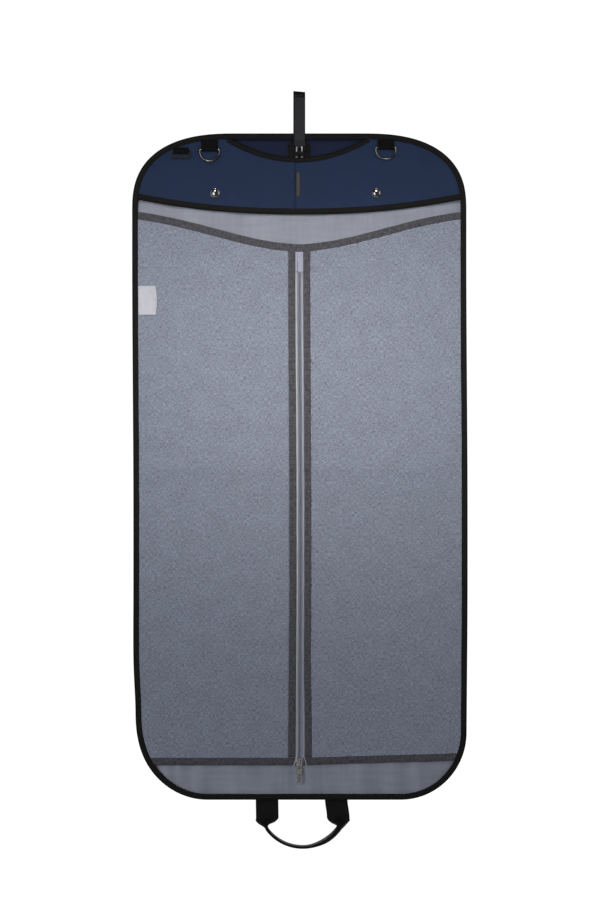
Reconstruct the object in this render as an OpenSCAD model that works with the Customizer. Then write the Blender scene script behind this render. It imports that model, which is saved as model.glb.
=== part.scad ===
// Bi-fold garment bag, hung open with its inner face to the front.
// Millimetres. +Z up, +X to the right, the front faces -Y.
// Origin: the hanger clamp's seat on the facing, on the bag's centre plane.

/* [Bag] */
// Width over the outer binding
bag_w = 560; // [520:5:600]
// Height over the outer binding
bag_h = 1116; // [1060:2:1180]
// Top edge above the clamp seat
top_z = 28; // [26:1:30]
// Visible width of the black outer binding
binding_w = 10; // [8:0.5:12]

/* [Layers] */
// Thickness of the foam in the back panel
foam_t = 3; // [2.5:0.5:5]
// Depth of the garment space between lining and mesh
space_d = 6.2; // [6:0.1:6.4]
// Distance from the front of the lining to the fold axis
fold_reach = 24; // [24:1:34]

/* [Yoke] */
// Sideways offset of the yoke's centre seam and press studs
yoke_x = -6; // [-10:1:0]
// Half the distance between the two press studs
stud_reach = 135; // [120:5:150]
// Half the width of the scoop in the top of the yoke
scoop_reach = 121; // [110:1:124]
// Sideways offset of the zip
zip_x = 0; // [-4:1:4]

/* [Strap hardware] */
// Distance of the left D-ring from the centre plane
ring_left = 150; // [142:1:160]
// Distance of the right D-ring from the centre plane
ring_right = 145; // [142:1:160]
// Centreline radius of a D-ring's bow
ring_r = 16.6; // [16:0.1:18]
// Radius of the ring wire
ring_wire_r = 1.6; // [1.4:0.1:1.8]
// Width of the hanger strap
strap_w = 20; // [18:0.5:20]
// Free length of the hanger strap above the bag
strap_len = 68; // [50:1:72]

/* [Handle] */
// Width of the handle webbing
handle_w = 38; // [30:1:40]
// Distance of each handle end from the handle's own centre
handle_reach = 58; // [54:1:62]
// Bend radius of the handle's grip
grip_r = 75; // [74:1:78]

/* [Hidden] */
$fn = 32;

half_w = bag_w / 2;
bottom_z = top_z - bag_h;
fold_z = top_z - bag_h / 2;
fold_gap = 0.4;                 // slit between the two halves' solids at the fold
// Width, height and exponent of each corner's curve
top_corner = [172, 127, 2.5];
bottom_left_corner = [126, 143, 2];
bottom_right_corner = [110, 112, 2];

// Depths, front to back. Every pair is [front, back] along Y.
fabric_t = 0.6;
tape_t = 0.6;
shell_t = 0.8;
lining_y = [0, 0.5];
foam_y = [lining_y[1], lining_y[1] + foam_t];
shell_y = [foam_y[1], foam_y[1] + shell_t];
facing_y = [-fabric_t, 0];
mesh_y = [-space_d - fabric_t, -space_d];
cover_y = [mesh_y[0] - tape_t, mesh_y[0]];
mesh_hem_y = [cover_y[0], mesh_y[1] + tape_t];
yoke_y = [-7.0, -6.2];
yoke_hem_y = [yoke_y[0] - 0.8, yoke_y[1] + 0.8];
channel_y = [yoke_y[0], shell_y[0]];
binding_y = [yoke_y[0] - 0.8, shell_y[1]];
binding_wall = 1;
edge_inset = binding_wall + 0.2; // where panel edges stop inside the binding

// Heights
hem_mid_z = top_z - 136;        // lower edge of the yoke at the centre
hem_rise = 27;                  // how far that edge climbs at the sides
hem_w = 10;
vee_mid_z = top_z - 186;        // top edge of the mesh panels at the centre
vee_rise = 55;
tape_w = 12.5;
scoop_low_z = -21;              // lowest point of the scoop binding
scoop_rise = 34;
scoop_w = 8.5;
mesh_bottom_z = bottom_z + 58;
mesh_bottom_tilt = 8;           // the right-hand mesh hem climbs to the side
facing_low_z = -52;
stud_z = top_z - 100;
tag_z = [-78, -37];
label_z = [-278, -229];
label_w = 30;

// Zip
zip_gap = 0.8;                  // half the slit between the two tapes
zip_tape_reach = 15.5;
zip_shown = 6.6;                // half the width that the cover tapes leave open
coil_reach = 3.2;
coil_y = [mesh_y[0] - 1.6, mesh_y[0]];
end_tab_y = [coil_y[0] - 0.7, coil_y[0] - 0.1];
end_tab_len = 32;
slider_z = bottom_z + 63;
slider_reach = 5;               // half the slider's width
slider_len = 12;
pull_reach = 5;
pull_len = 32;                  // from the hinge to the pull's lower end
pull_pin_r = 0.9;
plate_y = [coil_y[0] - 1.8, coil_y[0] - 0.2];     // the slider's front plate
keeper_y = [mesh_y[1] + 0.2, mesh_y[1] + 1.4];    // and the plate behind the tapes
pull_pin = [plate_y[0] - 1.5, slider_z - 2.5];    // Y and Z of the pull's hinge
zip_top_z = vee_mid_z - tape_w;

// Hanger clamp
clamp_z = [-28, 14];
clamp_w = 38;
clamp_y = [facing_y[0] - 2.6, facing_y[0]];
cheek_in = strap_w / 2 + 0.4;
cheek_t = 1.8;
lever_pin = [-8.8, 3];          // Y and Z of the lever's pin
pin_r = 1.5;
run_fit = 0.06;                 // radial clearance of every running fit
rivets = [[-4.5, -12], [4.5, -12], [-12, -22], [12, -22]];
rivet_r = 1.4;
board_reach = 30;
board_y = [lining_y[1], lining_y[1] + 1.5];
board_z = [-40, 16];
board_room = 1;                 // the foam's recess is this much wider than the board

// Strap hinge: Y and Z of the line where the free strap bends
strap_hinge = [-8.8, top_z + 2];
strap_t = 1.4;

// Press studs
stud_base_r = 6.4;              // the flanges of the socket and of the stud
stud_cap_r = 7.8;
stud_rivet_r = 2.1;             // the cap's shank through the yoke
stud_head_r = 2.6;              // the stud's own head, inside the socket
stud_bore_r = 1.3;
post_base_r = 6;
post_base_t = 1;

// D-ring and side-loop bars
ring_tab_w = 28;
side_tab_w = 25;
tab_wall = 1.3;
tab_r = ring_wire_r + run_fit + tab_wall;
ring_bar_y = yoke_y[0] - tab_r - 0.1;
rings = [[-ring_left, 0.5], [ring_right, 3.5]];   // X and Z of each D-ring's bar
ring_drop = 2.4;                // straight run between a D-ring's bar and its bow
side_x = -198;
side_bar_z = -3.5;
side_ring_w = 33;
side_bar_r = 1.5;
side_lip = [-9.9, -5.6];        // the side ring's flat lower bar, below its hinge bar

// Handle
handle_x = 4;
handle_t = 2;
handle_hinge = [(foam_y[0] + foam_y[1]) / 2, bottom_z - 2];
grip_half_angle = 58;
grip_depth = 19;
grip_t = 4.4;
grip_centre_z = bottom_z - 5;
leg_bend_z = bottom_z - 29;     // where each end starts to narrow into the grip

function spow(v, p) = sign(v) * pow(abs(v), p);
// A quarter of a superellipse, as a rounded corner of the bag, moved inwards by the inset
function corner_arc(corner, cx, cz, inset, from, to, steps = 14) = [
    for (i = [0:steps]) let (t = from + (to - from) * i / steps)
        [cx + (corner[0] - inset) * spow(cos(t), 2 / corner[2]),
         cz + (corner[1] - inset) * spow(sin(t), 2 / corner[2])]
];
function top_arc(side, inset, from, to) = corner_arc(
    top_corner, side * (half_w - top_corner[0]), top_z - top_corner[1], inset, from, to);
function bottom_arc(side, inset, from, to) =
    let (corner = side < 0 ? bottom_left_corner : bottom_right_corner)
    corner_arc(corner, side * (half_w - corner[0]), bottom_z + corner[1], inset, from, to);

function upper_outline(inset) = concat(
    [[half_w - inset, fold_z + fold_gap / 2]],
    top_arc(1, inset, 0, 90), top_arc(-1, inset, 90, 180),
    [[inset - half_w, fold_z + fold_gap / 2]]);
function lower_outline(inset) = concat(
    [[inset - half_w, fold_z - fold_gap / 2]],
    bottom_arc(-1, inset, 180, 270), bottom_arc(1, inset, 270, 360),
    [[half_w - inset, fold_z - fold_gap / 2]]);

// Curves of the edges across the bag, as heights at x
hem = function(x) hem_mid_z + hem_rise * pow(abs(x) / half_w, 2.2);
vee = function(x) vee_mid_z
    + vee_rise * (0.3 * (1 - cos(180 * x / half_w)) + 0.4 * pow(abs(x) / half_w, 1.2));
scoop = function(x) scoop_low_z + scoop_rise * pow(x / scoop_reach, 2);
mesh_hem = function(x) mesh_bottom_z + mesh_bottom_tilt * max(0, x) / half_w;

// A strip between two heights above a curve, from x0 to x1
function strip(curve, low, high, x0, x1, steps = 36) = concat(
    [for (i = [0:steps]) let (x = x0 + (x1 - x0) * i / steps) [x, curve(x) + low]],
    [for (i = [steps:-1:0]) let (x = x0 + (x1 - x0) * i / steps) [x, curve(x) + high]]);

// Turns a shape drawn in X and Z into a slab between two depths
module slab(depths) {
    translate([0, depths[1], 0]) rotate([90, 0, 0]) linear_extrude(depths[1] - depths[0]) children();
}
module slab_of(depths, points) {
    slab(depths) polygon(points);
}
module box_of(x, y, z) {
    translate([x[0], y[0], z[0]]) cube([x[1] - x[0], y[1] - y[0], z[1] - z[0]]);
}
module rod_x(x, y, z, r) {
    translate([x[0], y, z]) rotate([0, 90, 0]) cylinder(h = x[1] - x[0], r = r);
}
module rod_y(x, y, z, r) {
    translate([x, y[1], z]) rotate([90, 0, 0]) cylinder(h = y[1] - y[0], r = r);
}

// ---- Back panel ----
module rivet_holes(depths) {
    for (p = rivets) rod_y(p[0], [depths[0] - 1, depths[1] + 1], p[1], rivet_r + run_fit);
}
module stud_places() {
    for (side = [-1, 1]) translate([yoke_x + side * stud_reach, 0, stud_z]) children();
}
module back_shell_upper() {
    color("#2b3650") slab_of(shell_y, upper_outline(binding_w));
}
module back_shell_lower() {
    color("#2b3650") slab_of(shell_y, lower_outline(binding_w));
}
module back_foam_upper() {
    color("#c9c9c4") difference() {
        slab_of(foam_y, upper_outline(edge_inset));
        box_of([-board_reach - board_room, board_reach + board_room],
            [foam_y[0] - 1, board_y[1] + board_room - 0.1],
            [board_z[0] - board_room, board_z[1] + board_room]);
        stud_places() rod_y(0, [foam_y[0] - 1, foam_y[0] + post_base_t + 0.2], 0, stud_base_r);
    }
}
module back_foam_lower() {
    color("#c9c9c4") difference() {
        slab_of(foam_y, lower_outline(edge_inset));
        handle_anchor_room();
    }
}
module lining_upper() {
    color("#9a9dab") difference() {
        slab_of(lining_y, upper_outline(edge_inset));
        rivet_holes(lining_y);
        stud_places() rod_y(0, [lining_y[0] - 1, lining_y[1] + 1], 0, stud_bore_r);
    }
}
module lining_lower() {
    color("#9a9dab") slab_of(lining_y, lower_outline(edge_inset));
}
module top_facing() {
    color("#222b42") difference() {
        slab_of(facing_y, upper_outline(edge_inset));
        box_of([-half_w - 1, half_w + 1], [facing_y[0] - 1, facing_y[1] + 1], [fold_z - 1, facing_low_z]);
        rivet_holes(facing_y);
    }
}
module clamp_board() {
    color("#303030") difference() {
        box_of([-board_reach, board_reach], board_y, board_z);
        rivet_holes(board_y);
    }
}

// ---- Outer binding: a tape folded round the edge of every layer ----
module binding_channel(outer, wall, inner) {
    difference() {
        slab_of(binding_y, outer);
        slab_of(channel_y, wall);
        slab_of([binding_y[0] - 1, binding_y[1] + 1], inner);
    }
}
function open_at_fold(points, way) = [for (p = points) abs(p[1] - fold_z) < 1 ? [p[0], fold_z - way] : p];
module outer_binding_upper() {
    color("#1c1b1a") binding_channel(upper_outline(0),
        open_at_fold(upper_outline(binding_wall), 5), open_at_fold(upper_outline(binding_w), 5));
}
module outer_binding_lower() {
    color("#1c1b1a") difference() {
        binding_channel(lower_outline(0),
            open_at_fold(lower_outline(binding_wall), -5), open_at_fold(lower_outline(binding_w), -5));
        handle_anchor_room();
    }
}

// ---- Yoke ----
module yoke_panel(x0, x1) {
    difference() {
        intersection() {
            slab_of(yoke_y, upper_outline(edge_inset));
            slab_of([yoke_y[0] - 1, yoke_y[1] + 1], strip(hem, 1, 300, x0, x1));
        }
        slab_of([yoke_y[0] - 1, yoke_y[1] + 1],
            strip(scoop, scoop_w - 1, 60, -scoop_reach - 4, scoop_reach + 4));
        stud_places() rod_y(0, [yoke_y[0] - 1, yoke_y[1] + 1], 0, stud_rivet_r + 0.1);
    }
}
module yoke_left() {
    color("#2b3750") yoke_panel(-half_w, yoke_x);
}
module yoke_right() {
    color("#2b3750") yoke_panel(yoke_x, half_w);
}
// A folded tape over an edge: low and high bound it, slot_low and slot_high hold the panel
module folded_tape(curve, depths, slot_depths, low, high, slot_low, slot_high, x0, x1) {
    difference() {
        slab_of(depths, strip(curve, low, high, x0, x1));
        slab_of(slot_depths, strip(curve, slot_low, slot_high, x0 - 1, x1 + 1));
    }
}
module yoke_hem_binding() {
    color("#1c1b1a") intersection() {
        folded_tape(hem, yoke_hem_y, yoke_y, 0, hem_w, 0.9, hem_w + 1, -half_w, half_w);
        slab_of([-20, 20], upper_outline(binding_w));
    }
}
module yoke_scoop_binding() {
    color("#1c1b1a") intersection() {
        folded_tape(scoop, yoke_hem_y, yoke_y, 0, scoop_w, -1, scoop_w - 0.9,
            -scoop_reach - 1, scoop_reach + 1);
        slab_of([-20, 20], upper_outline(binding_w));
    }
}
module yoke_tag() {
    x0 = yoke_x + 0.6;
    x1 = x0 + 7.4;
    color("#4b4b44") slab_of([yoke_y[0] - 1.2, yoke_y[0]], [
        [x0, tag_z[0]], [x1 - 4, tag_z[0]], [x1, tag_z[0] + 5],
        [x1, tag_z[1] - 4], [x1 - 3, tag_z[1]], [x0, tag_z[1]]
    ]);
}

// ---- Mesh panels and their tapes ----
mesh_left_edge = zip_x - zip_tape_reach - 0.1;
mesh_right_edge = zip_x + zip_tape_reach + 0.1;
module mesh_upper(x0, x1) {
    intersection() {
        slab_of(mesh_y, upper_outline(edge_inset));
        slab_of([-20, 20], concat([[x1, fold_z - 5], [x0, fold_z - 5]],
            [for (i = [0:24]) let (x = x0 + (x1 - x0) * i / 24) [x, vee(x) - 0.9]]));
    }
}
module mesh_lower(x0, x1) {
    intersection() {
        slab_of(mesh_y, lower_outline(edge_inset));
        slab_of([-20, 20], [
            [x0, fold_z + 5], [x0, mesh_hem(x0) + 0.9],
            [x1, mesh_hem(x1) + 0.9], [x1, fold_z + 5]
        ]);
    }
}
module mesh_left_upper() {
    color("#8b919f") mesh_upper(-half_w, mesh_left_edge);
}
module mesh_right_upper() {
    color("#8b919f") mesh_upper(mesh_right_edge, half_w);
}
module mesh_left_lower() {
    color("#8b919f") mesh_lower(-half_w, mesh_left_edge);
}
module mesh_right_lower() {
    color("#8b919f") mesh_lower(mesh_right_edge, half_w);
}
module mesh_top_tape() {
    color("#4e4c50") intersection() {
        folded_tape(vee, mesh_hem_y, mesh_y, -tape_w, 0, -tape_w - 1, -0.7, -half_w, half_w);
        slab_of([-20, 20], upper_outline(binding_w));
    }
}
module mesh_bottom_tape(x0, x1) {
    intersection() {
        folded_tape(mesh_hem, mesh_hem_y, mesh_y, 0, tape_w, 0.7, tape_w + 1, x0, x1);
        slab_of([-20, 20], lower_outline(binding_w));
    }
}
module mesh_bottom_tape_left() {
    color("#4e4c50") mesh_bottom_tape(-half_w, zip_x - zip_shown);
}
module mesh_bottom_tape_right() {
    color("#4e4c50") mesh_bottom_tape(zip_x + zip_shown, half_w);
}

// ---- Zip ----
upper_run = [fold_z + fold_gap / 2, zip_top_z];
lower_run = [mesh_bottom_z + tape_w + 0.6, fold_z - fold_gap / 2];
function mirrored(side, a, b, x = 0) = side < 0 ? [x - b, x - a] : [x + a, x + b];
module cover_tape(side, run) {
    color("#4e4c50") box_of(mirrored(side, zip_shown, zip_shown + 12, zip_x), cover_y, run);
}
module zip_tape(side, run) {
    color("#8f93a6") box_of(mirrored(side, zip_gap, zip_tape_reach, zip_x), mesh_y, run);
}
module zip_cover_tape_left_upper() {
    cover_tape(-1, upper_run);
}
module zip_cover_tape_right_upper() {
    cover_tape(1, upper_run);
}
module zip_cover_tape_left_lower() {
    cover_tape(-1, lower_run);
}
module zip_cover_tape_right_lower() {
    cover_tape(1, lower_run);
}
module zip_tape_left_upper() {
    zip_tape(-1, upper_run);
}
module zip_tape_right_upper() {
    zip_tape(1, upper_run);
}
module zip_tape_left_lower() {
    zip_tape(-1, [mesh_bottom_z + 1.6, lower_run[1]]);
}
module zip_tape_right_lower() {
    zip_tape(1, [mesh_bottom_z + 1.6, lower_run[1]]);
}
module coils(run) {
    color("#74788c") for (side = [-1, 1])
        box_of(mirrored(side, zip_gap, coil_reach, zip_x), coil_y, run);
}
module zip_coils_upper() {
    coils([upper_run[0], zip_top_z - 8]);
}
module zip_coils_lower() {
    coils([slider_z - 3, lower_run[1]]);
}
module zip_end_tab() {
    reach = zip_shown - 0.1;
    color("#a7a8bb")
        box_of([zip_x - reach, zip_x + reach], end_tab_y, [zip_top_z - end_tab_len, zip_top_z - 0.2]);
}
module zip_stops() {
    color("#8f8f8c") for (side = [-1, 1])
        box_of(mirrored(side, zip_gap, coil_reach, zip_x), coil_y, [zip_top_z - 7.5, zip_top_z - 3.5]);
}
module zip_slider() {
    z = [slider_z - slider_len / 2, slider_z + slider_len / 2];
    plate_x = [-slider_reach, slider_reach];
    color("#8c8984") translate([zip_x, 0, 0]) difference() {
        union() {
            box_of(plate_x, plate_y, z);
            box_of(plate_x, keeper_y, z);
            box_of([-0.5, 0.5], [plate_y[1] - 0.1, keeper_y[0] + 0.1], z);
            for (side = [-1, 1])
                box_of(mirrored(side, coil_reach + 0.3, slider_reach),
                    [plate_y[1] - 0.1, mesh_y[0] - 0.2], z);
            // the bridge that carries the pull
            box_of([-1.5, 1.5], [pull_pin[0] - 1.7, plate_y[0] + 0.1], [slider_z - 5, slider_z + 4]);
        }
        // the bridge's eye, with a round seat for the pull's bar
        rod_x([-2, 2], pull_pin[0], pull_pin[1], pull_pin_r + run_fit);
        box_of([-2, 2], [pull_pin[0] - 0.6, pull_pin[0] + 0.6], [pull_pin[1], slider_z + 2]);
    }
}
module zip_pull() {
    y = [pull_pin[0] - pull_pin_r, pull_pin[0] + pull_pin_r];
    frame_top = pull_pin[1] - 8;
    frame_low = pull_pin[1] - pull_len;
    arm = [2.1, 3.4];
    color("#a09d98") translate([zip_x, 0, 0]) union() {
        rod_x([-2.9, 2.9], pull_pin[0], pull_pin[1], pull_pin_r);
        for (side = [-1, 1])
            box_of(mirrored(side, arm[0], arm[1]), y, [frame_top - 1, pull_pin[1] + 1]);
        difference() {
            box_of([-pull_reach, pull_reach], y, [frame_low, frame_top]);
            box_of([-2.8, 2.8], [y[0] - 1, y[1] + 1], [frame_low + 3, frame_top - 9]);
        }
    }
}

// ---- Care label ----
label_x = binding_w - half_w + 0.4;
label_y = mesh_y[0] - 0.6;
module care_label() {
    color("#dedde2") union() {
        box_of([label_x, label_x + label_w], [label_y - 0.3, label_y + 0.3], label_z);
        translate([label_x, label_y, label_z[0]]) cylinder(h = label_z[1] - label_z[0], r = 0.3);
    }
}

// ---- Press studs ----
module press_stud_caps() {
    cap_t = 1.2;
    color("#77746f") stud_places() {
        rod_y(0, [yoke_y[0] - cap_t, yoke_y[0]], 0, stud_cap_r);
        translate([0, yoke_y[0] - cap_t, 0]) rotate([90, 0, 0])
            cylinder(h = cap_t, r1 = stud_cap_r - 0.6, r2 = stud_cap_r - 2.6);
        rod_y(0, [yoke_y[0] - 0.5, yoke_y[1] + cap_t], 0, stud_rivet_r);
    }
}
module press_stud_sockets() {
    color("#6f6d69") stud_places() difference() {
        rod_y(0, [yoke_y[1], yoke_y[1] + 2.6], 0, stud_base_r);
        rod_y(0, [yoke_y[1] - 1, yoke_y[1] + 3], 0, stud_head_r + 0.3);
    }
}
module press_studs() {
    color("#6f6d69") stud_places() difference() {
        union() {
            rod_y(0, [lining_y[0] - 1.8, lining_y[0]], 0, stud_base_r);
            rod_y(0, [lining_y[0] - 4.6, lining_y[0] - 1.6], 0, stud_head_r);
        }
        rod_y(0, [lining_y[0] - 3.2, lining_y[0] + 1], 0, stud_bore_r);
    }
}
module press_stud_posts() {
    color("#6f6d69") stud_places() union() {
        rod_y(0, [lining_y[1], lining_y[1] + post_base_t], 0, post_base_r);
        rod_y(0, [lining_y[0] - 3, lining_y[1] + 0.5], 0, stud_bore_r - 0.06);
    }
}

// ---- D-rings ----
// Webbing looped round a bar and sewn back on itself
module webbing_tab(x, w, bar_y, bar_z, bar_r) {
    r = bar_r + run_fit + tab_wall;
    intersection() {
        difference() {
            union() {
                rod_x([x - w / 2, x + w / 2], bar_y, bar_z, r);
                box_of([x - w / 2, x + w / 2], [bar_y - 0.6, yoke_y[0]], [bar_z + 1, top_z]);
            }
            rod_x([x - w / 2 - 1, x + w / 2 + 1], bar_y, bar_z, bar_r + run_fit);
        }
        slab_of([-20, 20], upper_outline(binding_w));
    }
}
module d_ring(place) {
    color("#5d5a55") translate([place[0], ring_bar_y, place[1]]) union() {
        rod_x([-ring_r, ring_r], 0, 0, ring_wire_r);
        for (side = [-1, 1]) translate([side * ring_r, 0, 0]) {
            sphere(r = ring_wire_r + 0.15);
            translate([0, 0, -ring_drop]) cylinder(h = ring_drop, r = ring_wire_r);
        }
        translate([0, 0, -ring_drop]) rotate([90, 0, 0]) rotate([0, 0, 180]) rotate_extrude(angle = 180)
            translate([ring_r, 0]) circle(r = ring_wire_r);
    }
}
module d_ring_tab_left() {
    color("#191817") webbing_tab(rings[0][0], ring_tab_w, ring_bar_y, rings[0][1], ring_wire_r);
}
module d_ring_tab_right() {
    color("#191817") webbing_tab(rings[1][0], ring_tab_w, ring_bar_y, rings[1][1], ring_wire_r);
}
module d_ring_left() {
    d_ring(rings[0]);
}
module d_ring_right() {
    d_ring(rings[1]);
}

// ---- Side loop: a flat rectangular ring on a webbing tab ----
side_bar_y = yoke_y[0] - (side_bar_r + run_fit + tab_wall) - 0.1;
module side_loop_tab() {
    color("#191817") webbing_tab(side_x, side_tab_w, side_bar_y, side_bar_z, side_bar_r);
}
module side_loop_ring() {
    reach = side_ring_w / 2;
    y = [-side_bar_r + 0.1, side_bar_r - 0.1];
    color("#2a2826") translate([side_x, side_bar_y, side_bar_z]) union() {
        rod_x([-reach, reach], 0, 0, side_bar_r);
        box_of([-reach, reach], y, side_lip);
        for (side = [-1, 1]) box_of(mirrored(side, reach - 3, reach), y, [side_lip[0], 0.6]);
    }
}

// ---- Hanger clamp ----
function rounded(w, z, r, steps = 6) = [
    for (c = [[1, 1, 0], [-1, 1, 90], [-1, -1, 180], [1, -1, 270]])
        for (i = [0:steps]) let (t = c[2] + 90 * i / steps)
            [c[0] * (w / 2 - r) + r * cos(t), (c[1] > 0 ? z[1] - r : z[0] + r) + r * sin(t)]
];
module clamp_base() {
    color("#242322") difference() {
        union() {
            slab_of(clamp_y, rounded(clamp_w, clamp_z, 8));
            difference() {
                slab_of([clamp_y[0] - 1.2, clamp_y[1]], rounded(clamp_w, clamp_z, 8));
                slab_of([clamp_y[0] - 3, clamp_y[0]],
                    rounded(clamp_w - 4, [clamp_z[0] + 2, clamp_z[1] - 2], 6));
            }
            for (side = [-1, 1]) {
                cheek = mirrored(side, cheek_in, cheek_in + cheek_t);
                box_of(cheek, [lever_pin[0] - 2.8, clamp_y[0] + 0.1], [-1, 7]);
                box_of(cheek, [clamp_y[0] - 1.4, clamp_y[0] + 0.1], [-13.5, -1]);
            }
        }
        rod_x([-20, 20], lever_pin[0], lever_pin[1], pin_r + run_fit);
        rivet_holes(clamp_y);
    }
}
module clamp_pin() {
    reach = cheek_in + cheek_t;
    color("#9b9994") rod_x([-reach, reach], lever_pin[0], lever_pin[1], pin_r);
}
module clamp_lever() {
    reach = cheek_in - 0.3;
    spring_room = 3.4;
    color("#2b2a29") difference() {
        union() {
            rod_x([-reach, reach], lever_pin[0], lever_pin[1], 2.8);
            box_of([-reach, reach], [lever_pin[0] - 2.8, lever_pin[0] - 0.6], [-9, lever_pin[1]]);
            for (side = [-1, 1])
                box_of(mirrored(side, 3.7, 5.3),
                    [lever_pin[0] - 4, lever_pin[0] - 2.7], [-2.4, lever_pin[1] + 1]);
        }
        rod_x([-20, 20], lever_pin[0], lever_pin[1], pin_r + run_fit);
        box_of([-spring_room, spring_room], [lever_pin[0] - 2.4, lever_pin[0] + 4], [-1, 8]);
        box_of([-7, 7], [lever_pin[0] - 4, lever_pin[0]], [-6, -3.3]);
    }
}
module clamp_spring() {
    wire = 0.35;
    color("#9b9994") for (i = [-2:2]) translate([i * 1.1, lever_pin[0], lever_pin[1]]) rotate([0, 90, 0])
        rotate_extrude() translate([pin_r + 0.1 + wire, 0]) circle(r = wire);
}
module clamp_rivets() {
    color("#8d8a85") for (p = rivets) union() {
        translate([p[0], clamp_y[0], p[1]]) rotate([90, 0, 0]) cylinder(h = 1.2, r1 = 2.3, r2 = 1.6);
        rod_y(p[0], [clamp_y[0] - 0.1, board_y[1] + 0.1], p[1], rivet_r);
        rod_y(p[0], [board_y[1], board_y[1] + 0.7], p[1], 2.4);
    }
}

// ---- Hanger strap ----
module strap_profile(x, points) {
    translate([x[0], 0, 0]) rotate([90, 0, 90]) linear_extrude(x[1] - x[0]) polygon(points);
}
module strap_root() {
    back = clamp_y[0];
    rise = [strap_hinge[0] + strap_t / 2, strap_hinge[0] - strap_t / 2];
    color("#2f2e2f") strap_profile([-strap_w / 2, strap_w / 2], [
        [back, -6], [back, 7.4], [rise[0], 17], [rise[0], top_z + 1],
        [rise[1], top_z + 1], [rise[1], 17.6], [back - strap_t, 8.2], [back - strap_t, -6]
    ]);
}
module hanger_strap() {
    color("#2f2e2f") union() {
        rod_x([-strap_w / 2, strap_w / 2], strap_hinge[0], strap_hinge[1], strap_t / 2 + 0.1);
        box_of([-strap_w / 2, strap_w / 2], [strap_hinge[0] - strap_t / 2, strap_hinge[0] + strap_t / 2],
            [strap_hinge[1], strap_hinge[1] + strap_len]);
        // the hem, where the end is folded back and stitched
        box_of([-strap_w / 2, strap_w / 2], [strap_hinge[0] - strap_t * 1.5, strap_hinge[0]],
            [strap_hinge[1] + strap_len - 9, strap_hinge[1] + strap_len]);
    }
}

// ---- Handle ----
module at_handle_ends() {
    for (side = [-1, 1]) translate([handle_x + side * handle_reach, 0, 0]) children();
}
module handle_anchor_at(grow) {
    at_handle_ends() box_of([-handle_w / 2 - grow, handle_w / 2 + grow],
        [handle_hinge[0] - handle_t / 2 - grow, handle_hinge[0] + handle_t / 2 + grow],
        [bottom_z - 0.4 - grow * 10, bottom_z + 24 + grow]);
}
module handle_anchors() {
    color("#141312") handle_anchor_at(0);
}
module handle_anchor_room() {
    handle_anchor_at(0.1);
}
function grip_point(side, r, angle) = [handle_x + side * r * sin(angle), grip_centre_z - r * cos(angle)];
// One end of the handle: flat webbing that narrows and deepens into the folded grip
module handle_leg(side) {
    y = handle_hinge[0];
    x = handle_x + side * handle_reach;
    // the end runs a little way into the grip, inside its skin
    sunk = 0.4;
    deep = grip_depth / 2 - sunk;
    inner = grip_point(side, grip_r - grip_t / 2 + sunk, grip_half_angle - 1);
    outer = grip_point(side, grip_r + grip_t / 2 - sunk, grip_half_angle - 1);
    intersection() {
        slab_of([y - grip_depth, y + grip_depth], [
            [x - side * handle_w / 2, handle_hinge[1]], [x + side * handle_w / 2, handle_hinge[1]],
            [x + side * handle_w / 2, leg_bend_z], outer, inner, [x - side * handle_w / 2, leg_bend_z]
        ]);
        strap_profile([x - handle_w, x + handle_w], [
            [y - handle_t / 2, handle_hinge[1]], [y + handle_t / 2, handle_hinge[1]],
            [y + handle_t / 2, leg_bend_z], [y + deep, inner[1]], [y + deep, outer[1] - 5],
            [y - deep, outer[1] - 5], [y - deep, inner[1]], [y - handle_t / 2, leg_bend_z]
        ]);
    }
}
module handle() {
    color("#141312") union() {
        at_handle_ends()
            rod_x([-handle_w / 2, handle_w / 2], handle_hinge[0], handle_hinge[1], handle_t / 2 + 0.2);
        for (side = [-1, 1]) handle_leg(side);
        translate([handle_x, handle_hinge[0], grip_centre_z]) rotate([90, 0, 0])
            rotate([0, 0, 270 - grip_half_angle]) rotate_extrude(angle = 2 * grip_half_angle)
                translate([grip_r, 0]) square([grip_t, grip_depth], center = true);
    }
}

back_shell_upper();
back_shell_lower();
back_foam_upper();
back_foam_lower();
lining_upper();
lining_lower();
top_facing();
clamp_board();
outer_binding_upper();
outer_binding_lower();
yoke_left();
yoke_right();
yoke_hem_binding();
yoke_scoop_binding();
yoke_tag();
mesh_left_upper();
mesh_right_upper();
mesh_left_lower();
mesh_right_lower();
mesh_top_tape();
mesh_bottom_tape_left();
mesh_bottom_tape_right();
zip_cover_tape_left_upper();
zip_cover_tape_right_upper();
zip_cover_tape_left_lower();
zip_cover_tape_right_lower();
zip_tape_left_upper();
zip_tape_right_upper();
zip_tape_left_lower();
zip_tape_right_lower();
zip_coils_upper();
zip_coils_lower();
zip_end_tab();
zip_stops();
zip_slider();
zip_pull();
care_label();
press_stud_caps();
press_stud_sockets();
press_studs();
press_stud_posts();
d_ring_tab_left();
d_ring_tab_right();
d_ring_left();
d_ring_right();
side_loop_tab();
side_loop_ring();
clamp_base();
clamp_lever();
clamp_pin();
clamp_spring();
clamp_rivets();
strap_root();
hanger_strap();
handle_anchors();
handle();
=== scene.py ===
"""Detailed model of a bi-fold garment bag, hung open with its inner face to the front.

The design is written in millimetres in the CAD's own frame: +Z up, the front faces -Y, and the
origin is the hanger clamp's seat. Every sewn layer is its own piece. A layer that crosses the fold is one
mesh over both halves.
"""

import math
import random

import bpy
import numpy as np
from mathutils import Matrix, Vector, noise


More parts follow.
